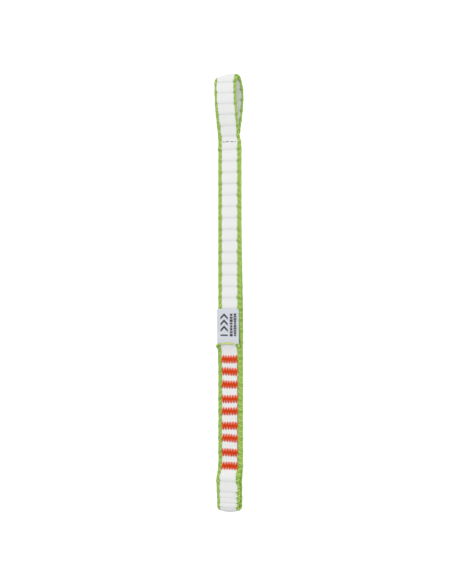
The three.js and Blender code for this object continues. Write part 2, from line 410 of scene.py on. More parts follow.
def add_node(
    tree: bpy.types.NodeTree, kind: str, inputs: dict | None = None, **settings: object
) -> bpy.types.Node:
    """Adds a node with its settings, and sets or links its inputs.

    Args:
        tree: The node tree.
        kind: The node's type.
        inputs: Input name or number to a value, or to the output that feeds it.
        settings: The node's own settings.

    Returns:
        The new node.
    """
    node = tree.nodes.new(kind)
    for name, value in settings.items():
        setattr(node, name, value)
    for name, value in (inputs or {}).items():
        if isinstance(value, bpy.types.NodeSocket):
            tree.links.new(value, node.inputs[name])
        else:
            node.inputs[name].default_value = value
    return node


class Tint(Enum):
    """Which channel of a piece's weave attribute a material reads."""

    SELVEDGE = "Red"
    TONE = "Green"
    EXTRA = "Blue"


@dataclass(frozen=True)
class Finish:
    """What all the finishes share: a fresh material with its nodes."""

    name: str

    def start(self) -> tuple[bpy.types.Material, bpy.types.NodeTree]:
        """Makes a new material with an empty node tree.

        Returns:
            The material and its tree.
        """
        material = bpy.data.materials.new(self.name)
        material.use_nodes = True
        material.node_tree.nodes.clear()
        return material, material.node_tree

    def channels(self, tree: bpy.types.NodeTree) -> bpy.types.Node:
        """The piece's weave attribute, split in three."""
        weave = add_node(tree, "ShaderNodeAttribute", attribute_name="weave")
        return add_node(tree, "ShaderNodeSeparateColor", {"Color": weave.outputs["Color"]})

    def grain(self, tree: bpy.types.NodeTree, across: float, along: float) -> bpy.types.NodeSocket:
        """Fine fibres on the piece's own strip map.

        Real filaments are 0.02 to 0.03 mm thick, far too fine to show, so they are drawn in
        bundles of the sizes given.

        Args:
            tree: The node tree.
            across: The size of a bundle across the strip.
            along: Its size along the strip.

        Returns:
            A share from 0 to 1.
        """
        strip = add_node(tree, "ShaderNodeUVMap", uv_map="strip")
        inputs = {"Vector": strip.outputs["UV"], "Scale": (1 / across, 1 / along, 1.0)}
        scaled = add_node(tree, "ShaderNodeMapping", inputs)
        inputs = {"Vector": scaled.outputs["Vector"], "Scale": 1.0, "Detail": 3.0, "Roughness": 0.6}
        return add_node(tree, "ShaderNodeTexNoise", inputs).outputs[0]

    def close(self, tree: bpy.types.NodeTree, **sockets: object) -> None:
        """Adds the surface shader and the output.

        Args:
            tree: The node tree.
            sockets: The shader's sockets, with _ for each space in their names.
        """
        inputs = {name.replace("_", " "): value for name, value in sockets.items()}
        shader = add_node(tree, "ShaderNodeBsdfPrincipled", inputs)
        add_node(tree, "ShaderNodeOutputMaterial", {"Surface": shader.outputs["BSDF"]})


@dataclass(frozen=True)
class WovenWebbing(Finish):
    """Polyethylene core and nylon selvedges, woven.

    Both are smooth filaments, so they look matt with a soft sheen. The colour holds painted shade
    in the hollows between the yarns and on the ribs, and painted highlight on the selvedges'
    crowns.
    """

    name: str = "woven_webbing"
    core_crown: str = "#F3F4F2"
    # painted shade: the white core's colour in its hollows and on its ribs
    core_hollow_shade: str = "#C9CCCE"
    # painted highlight on the plait's crowns, and after it painted shade in the plait's hollows
    selvedge_crown_highlight: str = "#BCE25E"
    selvedge_hollow_shade: str = "#416E08"
    melted: str = "#C9D566"  # the cut end, melted with a hot knife

    def material(self) -> bpy.types.Material:
        """Builds the material.

        Returns:
            The new material.
        """
        material, tree = self.start()
        channels = self.channels(tree).outputs
        selvedge, tone, melt = (channels[tint.value] for tint in Tint)
        # the tone paints shade into the core, and highlight and shade into the selvedges
        white = {0: tone, 6: linear(self.core_hollow_shade), 7: linear(self.core_crown)}
        core = add_node(tree, "ShaderNodeMix", white, data_type="RGBA").outputs[2]
        green = {0: tone, 6: linear(self.selvedge_hollow_shade), 7: linear(self.selvedge_crown_highlight)}
        edge = add_node(tree, "ShaderNodeMix", green, data_type="RGBA").outputs[2]
        both = {0: selvedge, 6: core, 7: edge}
        dye_and_shade = add_node(tree, "ShaderNodeMix", both, data_type="RGBA").outputs[2]
        fibres = self.grain(tree, across=0.12 * MM, along=0.9 * MM)
        spread = {"Value": fibres, "From Min": 0.25, "From Max": 0.75}
        spread.update({"To Min": 0.93, "To Max": 1.0})
        worn = add_node(tree, "ShaderNodeMapRange", spread).outputs[0]
        toned = {0: 1.0, 6: dye_and_shade, 7: worn}
        shade = add_node(tree, "ShaderNodeMix", toned, data_type="RGBA", blend_type="MULTIPLY")
        ended = {0: melt, 6: shade.outputs[2], 7: linear(self.melted)}
        colour = add_node(tree, "ShaderNodeMix", ended, data_type="RGBA").outputs[2]
        bumped = {"Height": fibres, "Strength": 0.35, "Distance": 0.04 * MM}
        relief = add_node(tree, "ShaderNodeBump", bumped).outputs["Normal"]
        self.close(
            tree,
            Base_Color=colour,
            Normal=relief,
            Roughness=0.72,
            Sheen_Weight=0.15,
            Sheen_Roughness=0.5,
        )
        return material


@dataclass(frozen=True)
class SewingThread(Finish):
    """Bonded nylon thread, three plies twisted: softly shiny on the plies, with shade painted dark
    between them.
    """

    crown: str
    # painted shade: the thread's colour between its plies
    hollow_shade: str

    def material(self) -> bpy.types.Material:
        """Builds the material.

        Returns:
            The new material.
        """
        material, tree = self.start()
        tone = self.channels(tree).outputs[Tint.TONE.value]
        # the tone paints shade between the plies
        dye_and_shade = {0: tone, 6: linear(self.hollow_shade), 7: linear(self.crown)}
        colour = add_node(tree, "ShaderNodeMix", dye_and_shade, data_type="RGBA").outputs[2]
        fibres = self.grain(tree, across=0.08 * MM, along=0.5 * MM)
        bumped = {"Height": fibres, "Strength": 0.25, "Distance": 0.03 * MM}
        relief = add_node(tree, "ShaderNodeBump", bumped).outputs["Normal"]
        self.close(
            tree,
            Base_Color=colour,
            Normal=relief,
            Roughness=0.6,
            Specular_IOR_Level=0.15,
        )
        return material


@dataclass(frozen=True)
class SatinRibbon(Finish):
    """Polyester satin, printed: long floats along the ribbon give it a soft silvery gloss."""

    name: str = "satin_ribbon"
    face: str = "#D6D9E3"
    shade: str = "#BFC3CF"
    ink: str = "#1B1D22"

    def material(self) -> bpy.types.Material:
        """Builds the material.

        Returns:
            The new material.
        """
        material, tree = self.start()
        channels = self.channels(tree).outputs
        woven = {0: channels[Tint.TONE.value], 6: linear(self.shade), 7: linear(self.face)}
        cloth = add_node(tree, "ShaderNodeMix", woven, data_type="RGBA").outputs[2]
        printed = {0: channels[Tint.EXTRA.value], 6: cloth, 7: linear(self.ink)}
        colour = add_node(tree, "ShaderNodeMix", printed, data_type="RGBA").outputs[2]
        floats = self.grain(tree, across=0.09 * MM, along=0.8 * MM)
        bumped = {"Height": floats, "Strength": 0.3, "Distance": 0.02 * MM}
        relief = add_node(tree, "ShaderNodeBump", bumped).outputs["Normal"]
        self.close(
            tree,
            Base_Color=colour,
            Normal=relief,
            Roughness=0.42,
            Sheen_Weight=0.1,
        )
        return material


@dataclass(frozen=True)
class StudioPaper(Finish):
    """The pale paper of a studio sweep: matt, with a faint glow of its own."""

    name: str = "studio_paper"
    colour: str = "#FBFBFB"

    def material(self) -> bpy.types.Material:
        """Builds the material.

        Returns:
            The new material.
        """
        material, tree = self.start()
        self.close(
            tree,
            Base_Color=linear(self.colour),
            Roughness=0.9,
            Emission_Color=linear(self.colour),
            Emission_Strength=0.6,
        )
        return material


# ---- Rolled grids -------------------------------------------------------------------------------


@dataclass
class Surface:
    """What a shaping function gives back for each vertex of a grid."""

    place: Array  # X, Y and Z
    selvedge: Array | float = 0.0
    tone: Array | float = 1.0
    extra: Array | float = 0.0


def rolled(
    name: str,
    around: int,
    along: int,
    girth: float,
    length: float,
    shape: Callable[[Array, Array], Surface],
) -> bpy.types.Object:
    """Rolls a grid into a closed tube with capped ends, with a map of its real size.

    Args:
        name: The object's name.
        around: Faces around the tube.
        along: Faces along the tube.
        girth: The distance around it, for the map.
        length: The distance along it, for the map.
        shape: Gives the surface at each vertex's shares of the way around and along.

    Returns:
        The new object, in the scene.
    """
    grid = bmesh.new()
    bmesh.ops.create_grid(grid, x_segments=around, y_segments=along, size=0.5)
    mesh = bpy.data.meshes.new(name)
    grid.to_mesh(mesh)
    grid.free()

    flat = np.empty(len(mesh.vertices) * 3)
    mesh.vertices.foreach_get("co", flat)
    flat = flat.reshape(-1, 3)
    share_around, share_along = flat[:, 0] + 0.5, flat[:, 1] + 0.5
    surface = shape(share_around, share_along)
    mesh.vertices.foreach_set("co", surface.place.astype(np.float32).ravel())

    ones = np.ones(len(flat))
    channels = [ones * surface.selvedge, ones * surface.tone, ones * surface.extra, ones]
    weave = mesh.attributes.new("weave", "FLOAT_COLOR", "POINT")
    weave.data.foreach_set("color", np.stack(channels, axis=-1).astype(np.float32).ravel())

    corners = np.empty(len(mesh.loops), dtype=np.int32)
    mesh.loops.foreach_get("vertex_index", corners)
    strip = np.stack([share_around * girth, share_along * length], axis=-1)[corners]
    mesh.uv_layers.new(name="strip").data.foreach_set("uv", strip.astype(np.float32).ravel())
    close_tube(mesh)

    piece = bpy.data.objects.new(name, mesh)
    bpy.context.scene.collection.objects.link(piece)
    return piece


def close_tube(mesh: bpy.types.Mesh) -> None:
    """Welds a rolled grid's long seam, caps its two ends and turns its faces outwards.

    Args:
        mesh: The grid, rolled up but still open along its seam. It is changed in place.
    """
    solid = bmesh.new()
    solid.from_mesh(mesh)
    bmesh.ops.remove_doubles(solid, verts=solid.verts, dist=0.0005 * MM)
    sides = list(solid.faces)
    rims = [edge for edge in solid.edges if edge.is_boundary]
    bmesh.ops.holes_fill(solid, edges=rims, sides=0)
    bmesh.ops.recalc_face_normals(solid, faces=solid.faces)
    for face in sides:
        face.smooth = True
    for edge in rims:
        edge.smooth = False
    solid.to_mesh(mesh)
    solid.free()


@dataclass(frozen=True)
class Stadium:
    """The section of a flat band: two flat faces joined by round edges."""

    width: float
    thickness: float

    @property
    def flat(self) -> float:
        """The width of each flat face."""
        return self.width - self.thickness

    @property
    def girth(self) -> float:
        """The distance around the section."""
        return 2 * self.flat + math.pi * self.thickness

    def around(self, share: Array) -> tuple[Array, Array, Array, Array, Array]:
        """Reads the section.

        Args:
            share: Shares of the way around, from the middle of the outer face towards +X.

        Returns:
            X, the height over the middle, the outward direction's two parts, and how far around the
            edge from its outermost point each vertex is, which grows towards the outer face.
        """
        radius, reach = self.thickness / 2, self.flat / 2
        gone = share * self.girth
        arc = math.pi * radius
        turn = np.clip((gone - reach) / arc, 0, 1) + np.clip((gone - 3 * reach - arc) / arc, 0, 1)
        angle = turn * math.pi
        back = gone - reach - arc
        x = np.where(gone < reach, gone, np.where(back < 0, reach, reach - back))
        x = np.where(back > 2 * reach, -reach, x)
        last = gone - 3 * reach - 2 * arc
        x = np.where(last > 0, -reach + last, x)
        out_x, out_y = np.sin(angle), np.cos(angle)
        right = reach + arc / 2 - gone
        left = gone - (3 * reach + 1.5 * arc)
        edge = np.where(gone < self.girth / 2, right, left)
        return x + radius * out_x, radius * out_y, out_x, out_y, edge


@dataclass(frozen=True)
class Ribs:
    """The cross lines where the weave draws the core in, as lengths along a strip and depths."""

    places: tuple[float, ...]
    depths: tuple[float, ...]

    def read(self, along: Array) -> tuple[Array, Array]:
        """Reads the ribs.

        Args:
            along: Lengths along the strip.

        Returns:
            The puff, from 0 on a rib to 1 between two, and the depth of the ribs there.
        """
        places, depths = np.array(self.places), np.array(self.depths)
        after = np.clip(np.searchsorted(places, along), 1, len(places) - 1)
        share = (along - places[after - 1]) / (places[after] - places[after - 1])
        share = np.clip(share, 0.0, 1.0)
        depth = depths[after - 1] + share * (depths[after] - depths[after - 1])
        return 1.0 - np.abs(2.0 * share - 1.0) ** 4, depth


# ---- The webbing --------------------------------------------------------------------------------


@dataclass(frozen=True)
class Weave:
    """How the webbing is woven: the core's warp yarns and ribs, and the plait of its selvedges."""

    width: float = 9.75 * MM  # to the hollows of the plait, whose crowns reach 10 mm
    thickness: float = 1.14 * MM
    core: float = 6.7 * MM
    rib_pitch: float = 4.38 * MM
    eye_rib_pitch: float = 4.15 * MM
    groove: float = 0.10 * MM
    border_wave: float = 0.34 * MM  # how far the green comes into the core at a rib
    yarn_pitch: float = 0.86 * MM
    yarn_height: float = 0.05 * MM
    plait_pitch: float = 1.05 * MM
    plait_slant: float = 0.9
    plait_height: float = 0.2 * MM
    plait_teeth: float = 0.16 * MM  # how far the strands of the plait reach into the core
    knob: float = 0.16 * MM  # how far the selvedge swells at a rib
    wander: float = 0.12 * MM  # how far the border strays from straight
    blur: float = 0.1 * MM  # half the width over which white turns green
    crease: float = 0.05 * MM  # depth of the line between the core and the selvedge
    crease_reach: float = 0.3 * MM
    step: float = 0.17 * MM  # between rows of vertices, fine enough for the plait
    around: int = 128


@dataclass
class Strip:
    """One stretch of the webbing.

    The plait is drawn with coarser strands than the real one, whose strands are 0.3 to 0.5 mm wide,
    so that they show.

    Attributes:
        name: The piece's name.
        line: Its centreline in the YZ plane.
        ribs: Its cross lines.
        weave: How it is woven.
        lie: Where the whole strip lies.
        spread: How much wider the core lies where the strip is bent open.
        opens: The heights between which the strip comes open.
        aside: How far the core lies to the right of the strip's middle, closed and open.
        offset: How far the strip lies to the right of the sling's middle, at its start and its end.
        crown_slope: How much the crown rises across the webbing.
        crown_arch: How much higher its middle stands than its edges, which rise by 0.6 of it.
        creases: How the webbing has set: rows of a length along, and how far to the right the left
            border, the left edge, the right border and the right edge lie there.
        sag: How far the middle of the bottom hangs below its corners.
        knots: Swellings of a selvedge, as (which side, length along, reach, height).
        cut_end: True where it starts at the melted cut end.
        seed: Picks its small irregularities.
    """

    name: str
    line: Centreline
    ribs: Ribs
    weave: Weave
    lie: Lie
    spread: float = 0.0
    opens: tuple[float, float] = (1.0, 2.0)
    aside: tuple[float, float] = (0.2 * MM, 0.0)
    offset: tuple[float, float] = (0.0, 0.0)
    crown_slope: float = 0.0
    crown_arch: float = 0.0
    creases: tuple[tuple[float, ...], ...] = ((0.0, 0.0, 0.0, 0.0, 0.0),)
    sag: float = 0.0
    knots: tuple[tuple[float, float, float, float], ...] = ()
    cut_end: bool = False
    seed: int = 1

    def build(self) -> bpy.types.Object:
        """Builds the stretch as a closed piece.

        Returns:
            The new object.
        """
        girth = Stadium(self.weave.width, self.weave.thickness).girth
        length = self.line.length
        rows = round(length / self.weave.step)
        return rolled(self.name, self.weave.around, rows, girth, length, self.shape)

    def shape(self, share_around: Array, share_along: Array) -> Surface:
        """Places the weave's surface along the centreline.

        Args:
            share_around: Each vertex's share of the way around the section.
            share_along: Its share of the way along the strip.

        Returns:
            The places, and the channels of the weave.
        """
        weave = self.weave
        section = Stadium(weave.width, weave.thickness)
        x, height, out_x, out_y, edge = section.around(share_around)
        along = share_along * self.line.length
        closing = 1.0  # the share of the full thickness
        if self.cut_end:
            along, closing = self.close_cut(along)
        level, rise = self.line.at(along)[:, 1], self.line.direction(along)[:, 1]
        below_crown = (self.lie.crown - level) / (self.lie.crown - self.lie.throat)
        near_crown = 1.0 - ease(0.3, 0.85, below_crown)
        arch = 1.6 - (2.0 * x / weave.width) ** 2
        lifted = (self.crown_slope * x + self.crown_arch * arch) * near_crown
        puff, depth = self.ribs.read(along + rise * lifted)  # so the ribs stay level

        side = np.sign(x) + (x == 0)
        rows = np.array(self.creases).T
        left, left_edge, right, right_edge = (np.interp(along, rows[0], row) for row in rows[1:])
        length = self.line.length
        seam_ends = ease(0.0, 3 * MM, along) * ease(length, length - 3 * MM, along)
        stray = smooth_noise(along / (6 * MM) + 0.3 * side, self.seed + 1)
        wander = stray * weave.wander * seam_ends
        bent = ease(*self.opens, level)
        aside = self.aside[0] + (self.aside[1] - self.aside[0]) * bent
        aside = aside + np.where(side > 0, right, left)
        half_core = (weave.core + self.spread * bent) / 2 + weave.border_wave * (puff - 0.7)
        border = half_core + wander + aside * side
        yarn = (along + weave.plait_slant * np.abs(edge)) / weave.plait_pitch
        plait = np.abs(np.sin(math.pi * yarn))
        teeth = weave.plait_teeth * (plait - 0.5)
        selvedge = ease(border - weave.blur, border + weave.blur, np.abs(x) + teeth)

        yarns = np.abs(np.cos(math.pi * x / weave.yarn_pitch))
        core_relief = -depth * (1.0 - puff) + weave.yarn_height * (yarns - 0.64)
        uneven = 1.0 + 0.5 * smooth_noise(along / (7 * MM) - 0.2 * side, self.seed + 9) * seam_ends
        edge_relief = weave.plait_height * (plait - 0.35) + weave.knob * (0.6 - puff) * uneven
        crease = bump(0.0, weave.crease_reach, np.abs(x) - border)
        relief = core_relief + selvedge * (edge_relief - core_relief) - weave.crease * crease
        for knot_side, place, reach, swell in self.knots:
            relief = relief + swell * bump(place, reach, along) * (side == knot_side) * selvedge

        edge_shift = np.where(side > 0, right_edge, left_edge)
        drawn = ease(border - 1.2 * MM, weave.width / 2, np.abs(x)) * edge_shift
        x = x + drawn + relief * out_x
        height = height + relief * out_y

        # Painted shade: the core's tone darkens between its yarns, on the ribs and in the crease at
        # its border
        between = 0.3 * (1.0 - yarns) * (0.4 + 0.6 * puff)
        tone_core = 0.35 + 0.65 * puff**0.5 - between - 0.25 * crease
        # The selvedge's tone: a random streak, alternate strands lighter and darker, painted
        # highlight on the plait's crowns, and painted shade in its hollows, on the ribs and in the
        # crease
        streak = 0.16 * smooth_noise(along / (2.3 * MM) + 0.37 * side, self.seed + 5)
        strand = 0.16 * np.sign(np.sin(math.pi * yarn) * ease(0.2, 0.4, plait))
        plaited = 0.9 * ease(0.3, 0.85, plait) + strand
        tone_edge = plaited + 0.2 * (puff - 0.6) + streak - 0.3 * crease
        tone = np.clip(tone_core + selvedge * (tone_edge - tone_core), 0.0, 1.0)

        melted = np.zeros_like(along)
        if self.cut_end:
            melted, tone, height, along = self.melt(x, tone, height * closing, along)
        points = self.line.at(along)
        direction = self.line.direction(along)
        y = points[:, 0] - direction[:, 1] * height
        z = points[:, 1] + direction[:, 0] * height + lifted
        hung = ease(self.lie.bottom + 4 * MM, self.lie.bottom + 1 * MM, z)
        z = z + self.sag * ((2 * x / weave.width) ** 2 - 0.35) * hung
        passed = ease(0.3, 0.7, along / self.line.length)
        x = x + self.offset[0] + (self.offset[1] - self.offset[0]) * passed
        return Surface(np.stack([x, y, z], axis=-1), selvedge, tone, melted)

    def close_cut(self, along: Array) -> tuple[Array, Array]:
        """Turns the first rows from the cut end into its face, which closes onto a line.

        Args:
            along: From the cut end, before the rows are moved.

        Returns:
            The lengths from the cut end, and the share of the full thickness there.
        """
        rows = 6 * self.weave.step
        share = np.clip(along / rows, 0.0, 1.0)
        squeezed = np.where(along < rows, 0.1 * along, along - 0.9 * rows)
        stretch = self.line.length / (self.line.length - 0.9 * rows)
        return squeezed * stretch, np.sin(share * math.pi / 2) ** 0.8

    def melt(
        self, x: Array, tone: Array, height: Array, along: Array
    ) -> tuple[Array, Array, Array, Array]:
        """Arches the hot-cut end, whose middle stands higher than its corners and is melted, and
        paints a shadow along the groove just behind the melted band.

        Args:
            x: Across the webbing.
            tone: The weave's tone.
            height: Over the webbing's middle.
            along: From the cut end.

        Returns:
            The share that is melted, the tone with its painted shadow line, and the two lengths as
            the cut leaves them.
        """
        middle_part = 1.0 - ease(2.5 * MM, 3.7 * MM, np.abs(x))
        melted = (1.0 - ease(0.2 * MM, 0.4 * MM, along)) * middle_part
        # a line just behind the melted band, sunk a little and darkened as painted shadow
        crease = bump(0.6 * MM, 0.3 * MM, along) * middle_part
        rounding = 1.0 - 0.2 * crease
        arch = 0.95 * MM * np.clip(1 - (x / (4.2 * MM)) ** 2, 0, 1) - 0.1 * MM
        kept = 1 - ease(0.0, 4 * MM, along)
        return melted, np.clip(tone - 0.9 * crease, 0, 1), height * rounding, along - arch * kept


@dataclass
class Webbing:
    """The whole strip, in the stretches that its joints need.

    Attributes:
        lie: Where the strip lies.
        weave: How it is woven.
        back_offset: How far to the right of the front layer the back one lies.
        upper_front_ribs: The ribs on the upper eye's front limb, in millimetres above the throat.
        lower_front_ribs: The ribs on the lower eye's front limb, in millimetres above the bottom.
        lower_depths: The depths of all the lower eye's ribs along the strip, over the usual depth.
        upper_set: How the upper eye has set, in rows: which limb, 0 for the first along the strip
            and -1 for the last, millimetres above the throat, and how many to the right the left
            border, the left edge, the right border and the right edge lie there.
        lower_set: How the lower eye has set, in such rows, with millimetres above the bottom.
    """

    lie: Lie
    weave: Weave = Weave()
    back_offset: float = -0.4 * MM
    upper_front_ribs: tuple[float, ...] = (2.4, 6.3, 10.6, 14.7, 18.8, 22.9)
    lower_front_ribs: tuple[float, ...] = (1.9, 3.5, 5.5, 7.6, 11.8)
    lower_depths: tuple[float, ...] = (1.0, 1.0, 1.0, 1.0, 1.0, 1.6, 1.3, 0.4, 1.1, 0.6, 1.0)
    upper_set: tuple[tuple[float, ...], ...] = (
        (0, -2.0, 0, 0, 0, 0),
        (0, 0.0, 0, 0, 0.05, -0.15),
        (0, 2.8, 0, 0, 0.35, -0.85),
        (0, 6.1, 0, 0, 0.35, -0.55),
        (0, 11.7, 0, 0, 0.2, -0.4),
        (0, 18.9, 0, 0, 0, -0.4),
        (0, 23.0, 0, 0, 0, -0.2),
        (-1, 22.0, 0, 0, 0.3, 0),
        (-1, 18.9, 0, 0, 0.5, 0),
        (-1, 11.7, 0, 0, 0.5, -0.1),
        (-1, 6.1, 0, 0, 0.5, -0.45),
        (-1, 2.8, 0, 0, 0.35, -0.85),
        (-1, 0.0, 0, 0, 0.05, -0.15),
        (-1, -2.0, 0, 0, 0, 0),
    )
    lower_set: tuple[tuple[float, ...], ...] = (
        (0, 15.0, 0, 0, 0, 0),
        (0, 11.0, 0, 0, -0.8, 0),
        (0, 4.0, 0, 0, -1.0, 0),
        (0, 1.2, 0, 0.3, -0.3, -0.1),
        (-1, 1.2, 0, 0.5, 0.1, -0.25),
        (-1, 2.6, 0, 0.45, 0.15, -0.1),
        (-1, 6.2, 0, 0.25, 0.15, 0),
        (-1, 10.1, 0, 0, 0.15, 0),
        (-1, 12.0, 0, 0, 0, 0),
        (-1, 14.0, 0, 0, -0.2, 0),
        (-1, 17.0, 0, 0, 0, 0),
    )

    def __post_init__(self) -> None:
        """Makes the finish, and settles the seams on ribs where the webbing doesn't bend."""
        lie = self.lie
        self.finish = WovenWebbing().material()
        top_rib = lie.throat - 7.3 * MM
        count = round((top_rib - lie.label_fold) / self.weave.rib_pitch)
        pitch = (top_rib - lie.label_fold + 0.2 * MM) / count
        self.levels = [lie.throat - 2.9 * MM] + [top_rib - k * pitch for k in range(count + 1)]
        self.seams = [self.levels[3], self.levels[7], self.levels[10]]

    def ribs_at(self, line: Centreline, levels: list[float], depth: float) -> Ribs:
        """The ribs of a line that runs down through some levels, with one past each end.

        Args:
            line: The centreline.
            levels: The heights of the ribs. Those that the line doesn't reach are left out.
            depth: The ribs' depth.

        Returns:
            The ribs.
        """
        places = sorted(place for level in levels for place in line.crossings(level))
        pitch = self.weave.rib_pitch
        first, last = (places[0], places[-1]) if places else (0.0, line.length)
        if first > 0.5 * MM:
            places.insert(0, min(0.0, first - pitch))
        if last < line.length - 0.5 * MM:
            places.append(max(line.length, last + pitch))
        return Ribs(tuple(places), (depth,) * len(places))

    def creases(
        self, line: Centreline, low: float, rows: tuple[tuple[float, ...], ...]
    ) -> tuple[tuple[float, ...], ...]:
        """Finds where along a strip the rows lie that say how it has set.

        Args:
            line: The strip's centreline.
            low: The height that the rows' millimetres are measured from.
            rows: As in upper_set and lower_set.

        Returns:
            The rows as Strip.creases holds them.
        """
        found = []
        for limb, rise, *shifts in rows:
            place = line.crossings(low + rise * MM)[limb]
            found.append((place, *(shift * MM for shift in shifts)))
        return tuple(sorted(found))

    def upper_eye(self) -> bpy.types.Object:
        """The open eye and the top of the leg, down to the first seam.

        Returns:
            The piece.
        """
        lie, seam = self.lie, self.seams[0]
        line = lie.upper_eye_line(seam)
        throats = line.crossings(lie.throat)
        front = [line.crossings(lie.throat + rise * MM)[0] for rise in self.upper_front_ribs]
        count = round((throats[-1] - front[-1]) / self.weave.eye_rib_pitch)
        places = front + list(np.linspace(front[-1], throats[-1], count + 1))
        places += [place for level in self.levels[:4] for place in line.crossings(level)]
        places = sorted({round(float(p), 7) for p in places} | {0.0, line.length})
        ribs = Ribs(tuple(places), (self.weave.groove,) * len(places))
        low_knot = line.crossings(lie.throat - 2.5 * MM)[0]
        knots = ((-1.0, low_knot, 1.2 * MM, 0.18 * MM),)
        piece = Strip(
            "strip_upper_eye",
            line,
            ribs,
            self.weave,
            lie,
            spread=0.7 * MM,
            opens=(lie.throat + 1 * MM, lie.crown - 6 * MM),
            aside=(0.2 * MM, 0.05 * MM),
            offset=(0.0, self.back_offset),
            crown_slope=0.135,
            crown_arch=0.6 * MM,
            creases=self.creases(line, lie.throat, self.upper_set),
            knots=knots,
            seed=11,
        ).build()
        self.bend(piece)
        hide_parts("webbing_upper_eye")
        return piece

    def bend(
        self, piece: bpy.types.Object
    ) -> None:
        """Bakes a piece's transform into its mesh; the piece is not bent."""
        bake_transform(piece)

    def leg(self, side: str, layer: Callable[[Array], Array]) -> list[bpy.types.Object]:
        """One layer of the leg, in its three stretches. The last runs on into the block.

        Args:
            side: "front" or "back".
            layer: Gives Y of the layer's middle at a height.

        Returns:
            The pieces, from the top down.
        """
        lie = self.lie
        low = lie.inner_end if side == "front" else lie.tacks[-1]
        between = [lie.label_fold - k * self.weave.rib_pitch for k in range(1, 4)]
        levels = self.levels + between + list(lie.tacks)
        stretches = (
            ("leg_upper", "leg_middle", "leg_flex", self.seams[0], self.seams[1], 6.2 * MM),
            ("leg_middle", "leg_lower", "leg_twist", self.seams[1], self.seams[2], 5.9 * MM),
            ("leg_lower", "block", "block_flex", self.seams[2], low, 5.6 * MM),
        )
        pieces = []
        for upper, lower, joint, top, end, reach in stretches:
            line = lie.line(layer, top, end)
            ribs = self.ribs_at(line, levels, self.weave.groove)
            name = f"{upper}_{side}"
            seed = 20 + 7 * len(pieces) + (3 if side == "back" else 0)
            offset = (self.back_offset,) * 2 if side == "back" else (0.0, 0.0)
            strip = Strip(f"strip_{name}", line, ribs, self.weave, lie, offset=offset, seed=seed)
            piece = strip.build()
            self.bend(piece)
            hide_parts(f"webbing_{name}")
            pieces.append(piece)
        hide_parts("webbing_block_inner" if side == "front" else "webbing_block_back")
        return pieces

    def tail(self) -> bpy.types.Object:
        """The outer end of the strip, from its hot-cut end to the last bar tack.

        Returns:
            The piece.
        """
        lie = self.lie
        line = lie.line(lie.tail_y, lie.tail_end, lie.tacks[-1])
        ribs = self.ribs_at(line, list(lie.tacks), 0.13 * MM)
        knots = ((-1.0, 0.5 * MM, 1.7 * MM, 0.4 * MM),)
        piece = Strip(
            "strip_tail",
            line,
            ribs,
            self.weave,
            lie,
            aside=(0.4 * MM, 0.0),
            knots=knots,
            cut_end=True,
            seed=41,
        ).build()
        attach(piece, "block")
        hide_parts("webbing_block_tail")
        return piece

    def lower_eye(self) -> bpy.types.Object:
        """The small tight eye, from the last bar tack round to the last bar tack.

        Returns:
            The piece.
        """
        lie = self.lie
        line = lie.lower_eye_line(lie.tacks[-1])
        start, bottom = lie.tacks[-1], lie.bottom
        back = [line.crossings(start - k * self.weave.eye_rib_pitch)[0] for k in (1, 2, 3)]
        front = [line.crossings(bottom + height * MM)[-1] for height in self.lower_front_ribs]
        places = (0.0, *back, (back[-1] + front[0]) / 2, *front, line.length)
        ribs = Ribs(places, tuple(depth * self.weave.groove for depth in self.lower_depths))
        high_knot = (1.0, line.length - 3.6 * MM, 2.2 * MM, 0.3 * MM)
        knots = (high_knot, (1.0, front[2], 7 * MM, 0.35 * MM))
        piece = Strip(
            "strip_lower_eye",
            line,
            ribs,
            self.weave,
            lie,
            spread=0.8 * MM,
            opens=(start, bottom + 8 * MM),
            aside=(0.2 * MM, 0.45 * MM),
            offset=(self.back_offset, 0.0),
            creases=self.creases(line, bottom, self.lower_set),
            sag=0.9 * MM,
            knots=knots,
            seed=53,
        ).build()
        self.bend(piece)
        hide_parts("webbing_lower_eye")
        return piece

    def build(self) -> list[bpy.types.Object]:
        """Builds and dresses every stretch.

        Returns:
            The pieces.
        """
        pieces = [self.upper_eye()]
        pieces += self.leg("front", self.lie.front_y) + self.leg("back", self.lie.back_y)
        pieces += [self.tail(), self.lower_eye()]
        for piece in pieces:
            piece.data.materials.append(self.finish)
        return pieces


# ---- Stitching ----------------------------------------------------------------------------------


